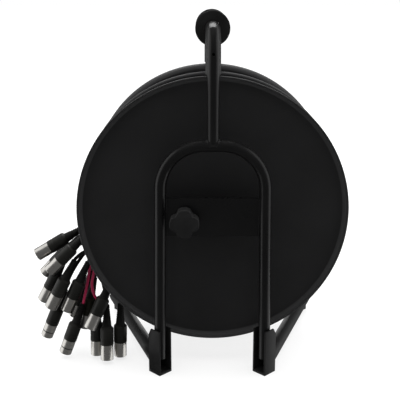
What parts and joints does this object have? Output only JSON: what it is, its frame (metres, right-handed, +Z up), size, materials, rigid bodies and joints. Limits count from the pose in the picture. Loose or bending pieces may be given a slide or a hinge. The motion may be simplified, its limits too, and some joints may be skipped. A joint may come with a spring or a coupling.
{
  "type": "cable reel",
  "caption": "Free-standing cable reel: a flanged drum on a shaft between two tubular side frames, with a screw brake, a crank, a carrying handle and a fan-out of audio connectors.",
  "frame": {"origin": "on the floor, below the middle of the reel without its cable ends", "axes": "+Z up, +Y from the brake's side towards the crank's side, along the drum's axis; +X to the right as seen from the brake's side"},
  "size_m": [0.4504, 0.324, 0.5067],
  "materials": {
    "frame_paint": "satin black powder coat",
    "drum_paint": "matt black powder coat",
    "black_plastic": "moulded, fine grain",
    "soft_rubber": "matt",
    "bare_steel": "turned and zinc plated",
    "connector_nickel": "satin nickel plate",
    "bush_bronze": "sintered bronze",
    "cable_jacket": "matt flexible jacket"
  },
  "bodies": {
    "frame": {"near_arch": "frame_paint", "far_arch": "frame_paint", "near_upright": "frame_paint", "far_upright": "frame_paint", "near_axle_plate": "frame_paint", "far_axle_plate": "frame_paint", "near_bush": "bush_bronze", "far_bush": "bush_bronze", "left_rail": "frame_paint", "right_rail": "frame_paint", "near_left_shoe": "black_plastic", "near_right_shoe": "black_plastic", "far_left_shoe": "black_plastic", "far_right_shoe": "black_plastic", "handle_tube": "frame_paint", "handle_grip": "soft_rubber", "near_handle_bolt": "bare_steel", "far_handle_bolt": "bare_steel", "tail_01": "cable_jacket", "tail_02": "cable_jacket", "tail_03": "cable_jacket", "tail_04": "cable_jacket", "tail_05": "cable_jacket", "tail_06": "cable_jacket", "tail_07": "cable_jacket", "tail_08": "cable_jacket", "tail_09": "cable_jacket", "tail_10": "cable_jacket", "tail_11": "cable_jacket", "tail_12": "cable_jacket", "tail_13": "cable_jacket", "tail_14": "cable_jacket", "connector_01": "connector_nickel", "connector_02": "connector_nickel", "connector_03": "connector_nickel", "connector_04": "connector_nickel", "connector_05": "connector_nickel", "connector_06": "connector_nickel", "connector_07": "connector_nickel", "connector_08": "connector_nickel", "connector_09": "connector_nickel", "connector_10": "connector_nickel", "connector_11": "connector_nickel", "connector_12": "connector_nickel", "connector_13": "connector_nickel", "connector_14": "connector_nickel"},
    "drum": {"near_flange": "drum_paint", "partition_flange": "drum_paint", "far_flange": "drum_paint", "drum_core": "drum_paint", "drum_shaft": "bare_steel", "cable_inner_layers": "cable_jacket", "cable_outer_layer": "cable_jacket", "multicore_lead": "cable_jacket", "breakout_boot": "soft_rubber", "crank_arm": "frame_paint"},
    "crank_grip": {"crank_knob": "black_plastic"},
    "brake_screw": {"brake_knob": "black_plastic", "brake_stud": "bare_steel"},
    "brake_shoe": {"brake_pad": "soft_rubber"}
  },
  "joints": [
    {"name": "drum_spin", "type": "hinge", "parent": "frame", "child": "drum", "pos_m": [0, 0, 0.233], "axis": [0, 1, 0], "continuous": true},
    {"name": "crank_knob_spin", "type": "hinge", "parent": "drum", "child": "crank_grip", "pos_m": [0, 0.13, 0.143], "axis": [0, 1, 0], "continuous": true},
    {"name": "brake_pad_slide", "type": "slide", "parent": "frame", "child": "brake_shoe", "axis": [0, 1, 0], "range_m": [-0.0025, 0.00126]},
    {"name": "brake_knob_turn", "type": "hinge", "parent": "brake_shoe", "child": "brake_screw", "pos_m": [-0.0385, -0.15, 0.2309], "axis": [0, 1, 0], "range_deg": [-720, 360]}
  ],
  "couplings": [
    {"joint": "brake_pad_slide", "follows": "brake_knob_turn", "m_per_rad": 0.00019894}
  ]
}
